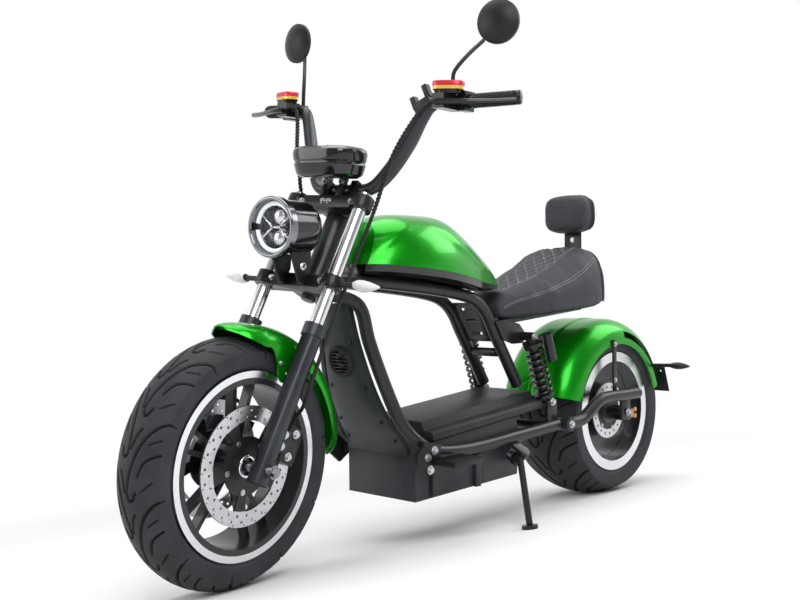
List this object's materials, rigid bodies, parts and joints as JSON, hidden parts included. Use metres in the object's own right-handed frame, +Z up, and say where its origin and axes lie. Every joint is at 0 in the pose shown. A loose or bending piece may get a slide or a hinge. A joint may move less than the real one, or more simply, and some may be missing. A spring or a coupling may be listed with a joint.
{
  "type": "electric chopper scooter",
  "caption": "Electric chopper-style scooter with fat tyres, raked fork, tank-shaped cover, quilted saddle and backrest, leaning on its side stand.",
  "frame": {"origin": "on the floor under the middle of the overall box", "axes": "+X towards the front wheel, +Y to the rider's left (the side it leans to), +Z up"},
  "size_m": [1.8206, 0.7456, 1.281],
  "materials": {
    "green_paint": "gloss metallic",
    "green_shell": "gloss metallic",
    "frame_paint": "satin black",
    "fork_paint": "satin dark grey",
    "dark_plastic": "fine grain",
    "gloss_black": "gloss",
    "black_parts": "matt",
    "leather": "matt, quilted",
    "tyre": "matt",
    "cast_black": "black gloss",
    "motor_metal": "polished",
    "chrome": "polished",
    "steel": "brushed",
    "lamp_glass": "clear",
    "lamp_red": "clear red",
    "cap_red": "anodised red",
    "copper": "anodised copper",
    "grip_rubber": "matt"
  },
  "bodies": {
    "chassis": {"head_tube": "frame_paint", "frame_tubes": "frame_paint", "frame_brackets": "frame_paint", "front_panel": "dark_plastic", "battery_case": "dark_plastic", "floor_deck": "dark_plastic", "tank": "green_shell", "tank_trim": "gloss_black", "saddle_pads": "leather", "backrest_post": "frame_paint", "backrest": "leather", "rear_shocks": "black_parts", "swingarm": "frame_paint", "rear_axle": "steel", "rear_fender": "green_paint", "rear_signals": "black_parts", "tail_light": "lamp_red", "plate_bracket": "black_parts", "rear_caliper": "copper", "footrests": "black_parts", "stand_bracket": "frame_paint"},
    "fork": {"fork_clamps": "cast_black", "stanchions": "chrome", "fork_legs": "fork_paint", "front_axle": "steel", "front_fender": "green_paint", "headlight_bucket": "gloss_black", "headlight_ring": "chrome", "headlight_lens": "lamp_glass", "front_brackets": "black_parts", "front_signals": "lamp_glass", "display_pod": "gloss_black", "handlebar": "fork_paint", "bar_controls": "black_parts", "grips": "grip_rubber", "mirrors": "gloss_black", "front_calipers": "cast_black", "bar_hoses": "grip_rubber"},
    "front_wheel": {"front_tyre": "tyre", "front_wheel_casting": "cast_black", "front_discs": "steel"},
    "rear_wheel": {"rear_tyre": "tyre", "rear_hub_motor": "motor_metal", "rear_disc": "steel"},
    "stand": {"side_stand": "frame_paint"}
  },
  "joints": [
    {"name": "steering", "type": "hinge", "parent": "chassis", "child": "fork", "pos_m": [0.38311, -0.05004, 0.66909], "axis": [-0.4681, 0.1229, 0.8751], "range_deg": [-42.6, 27.4]},
    {"name": "front_wheel_spin", "type": "hinge", "parent": "fork", "child": "front_wheel", "pos_m": [0.65656, -0.10267, 0.25138], "axis": [-0.1171, 0.9729, -0.1992], "continuous": true},
    {"name": "rear_wheel_spin", "type": "hinge", "parent": "chassis", "child": "rear_wheel", "pos_m": [-0.62312, -0.11091, 0.23763], "axis": [-0.0002, 0.9903, -0.1392], "continuous": true},
    {"name": "stand_fold", "type": "hinge", "parent": "chassis", "child": "stand", "pos_m": [-0.13125, 0.01344, 0.15877], "axis": [0.0899, 0.8517, 0.5163], "range_deg": [0, 112.1]}
  ]
}
